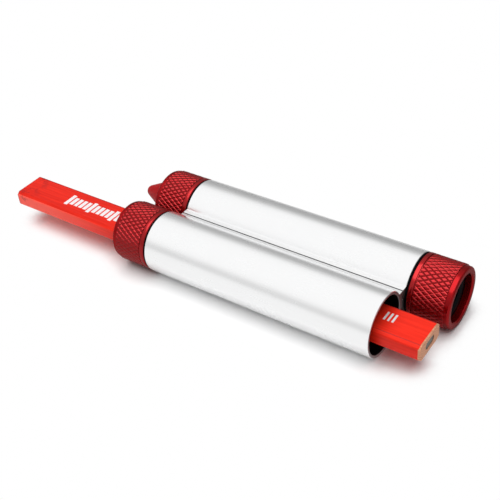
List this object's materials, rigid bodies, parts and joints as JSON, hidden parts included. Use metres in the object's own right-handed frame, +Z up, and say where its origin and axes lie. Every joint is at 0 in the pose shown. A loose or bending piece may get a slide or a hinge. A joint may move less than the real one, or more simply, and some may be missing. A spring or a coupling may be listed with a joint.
{
  "type": "crayon holder",
  "caption": "Double-barrelled pocket holder: one tube grips a flat carpenter's pencil, the other a round crayon, each in a knurled screw collar.",
  "frame": {"origin": "middle of the footprint, on the table that both barrels lie on", "axes": "+X along the barrels, from the pencil's dipped end towards the empty crayon socket; +Y across, from the pencil barrel to the crayon barrel; +Z up"},
  "size_m": [0.18, 0.0484, 0.0234],
  "materials": {
    "barrel_aluminium": "satin silver anodised, fine lengthwise drawing lines",
    "seat_aluminium": "plain turned",
    "collet_nylon": "black moulded nylon, matte",
    "collar_red": "deep red anodised, diamond knurl, bright turned edges",
    "seal_rubber": "black rubber",
    "pencil_lacquer": "bright red lacquer over cedar, bare tan wood at the cut end",
    "pencil_lead": "dark grey graphite",
    "crayon_wax": "dark red wax, soft sheen"
  },
  "bodies": {
    "holder": {"pencil_barrel": "barrel_aluminium", "crayon_barrel": "barrel_aluminium", "pencil_cone_seat": "seat_aluminium", "front_cone_seat": "seat_aluminium", "rear_cone_seat": "seat_aluminium"},
    "pencil_grip": {"pencil_collet": "collet_nylon"},
    "pencil_cap": {"pencil_collar": "collar_red", "pencil_seal_ring": "seal_rubber"},
    "front_grip": {"front_collet": "collet_nylon"},
    "front_cap": {"front_collar": "collar_red", "front_seal_ring": "seal_rubber"},
    "rear_grip": {"rear_collet": "collet_nylon"},
    "rear_cap": {"rear_collar": "collar_red", "rear_seal_ring": "seal_rubber"},
    "pencil": {"pencil_upper_slat": "pencil_lacquer", "pencil_lower_slat": "pencil_lacquer", "pencil_lead": "pencil_lead"},
    "crayon": {"crayon_stick": "crayon_wax"}
  },
  "joints": [
    {"name": "pencil_grip_slide", "type": "slide", "parent": "holder", "child": "pencil_grip", "axis": [-1, 0, 0], "range_m": [0, 0.006]},
    {"name": "pencil_collar_screw", "type": "hinge", "parent": "pencil_grip", "child": "pencil_cap", "pos_m": [-0.02695, -0.0125, 0.0117], "axis": [-1, 0, 0], "range_deg": [0, 2160]},
    {"name": "front_grip_slide", "type": "slide", "parent": "holder", "child": "front_grip", "axis": [-1, 0, 0], "range_m": [0, 0.006]},
    {"name": "front_collar_screw", "type": "hinge", "parent": "front_grip", "child": "front_cap", "pos_m": [-0.02695, 0.0125, 0.0117], "axis": [-1, 0, 0], "range_deg": [0, 2160]},
    {"name": "rear_grip_slide", "type": "slide", "parent": "holder", "child": "rear_grip", "axis": [1, 0, 0], "range_m": [0, 0.006]},
    {"name": "rear_collar_screw", "type": "hinge", "parent": "rear_grip", "child": "rear_cap", "pos_m": [0.08105, 0.0125, 0.0117], "axis": [1, 0, 0], "range_deg": [0, 2160]},
    {"name": "pencil_feed", "type": "slide", "parent": "holder", "child": "pencil", "axis": [-1, 0, 0], "range_m": [-0.055, 0.105]},
    {"name": "crayon_feed", "type": "slide", "parent": "holder", "child": "crayon", "axis": [-1, 0, 0], "range_m": [-0.0122, 0.0778]}
  ],
  "couplings": [
    {"joint": "pencil_collar_screw", "follows": "pencil_grip_slide", "rad_per_m": 6283.2},
    {"joint": "front_collar_screw", "follows": "front_grip_slide", "rad_per_m": 6283.2},
    {"joint": "rear_collar_screw", "follows": "rear_grip_slide", "rad_per_m": 6283.2}
  ]
}
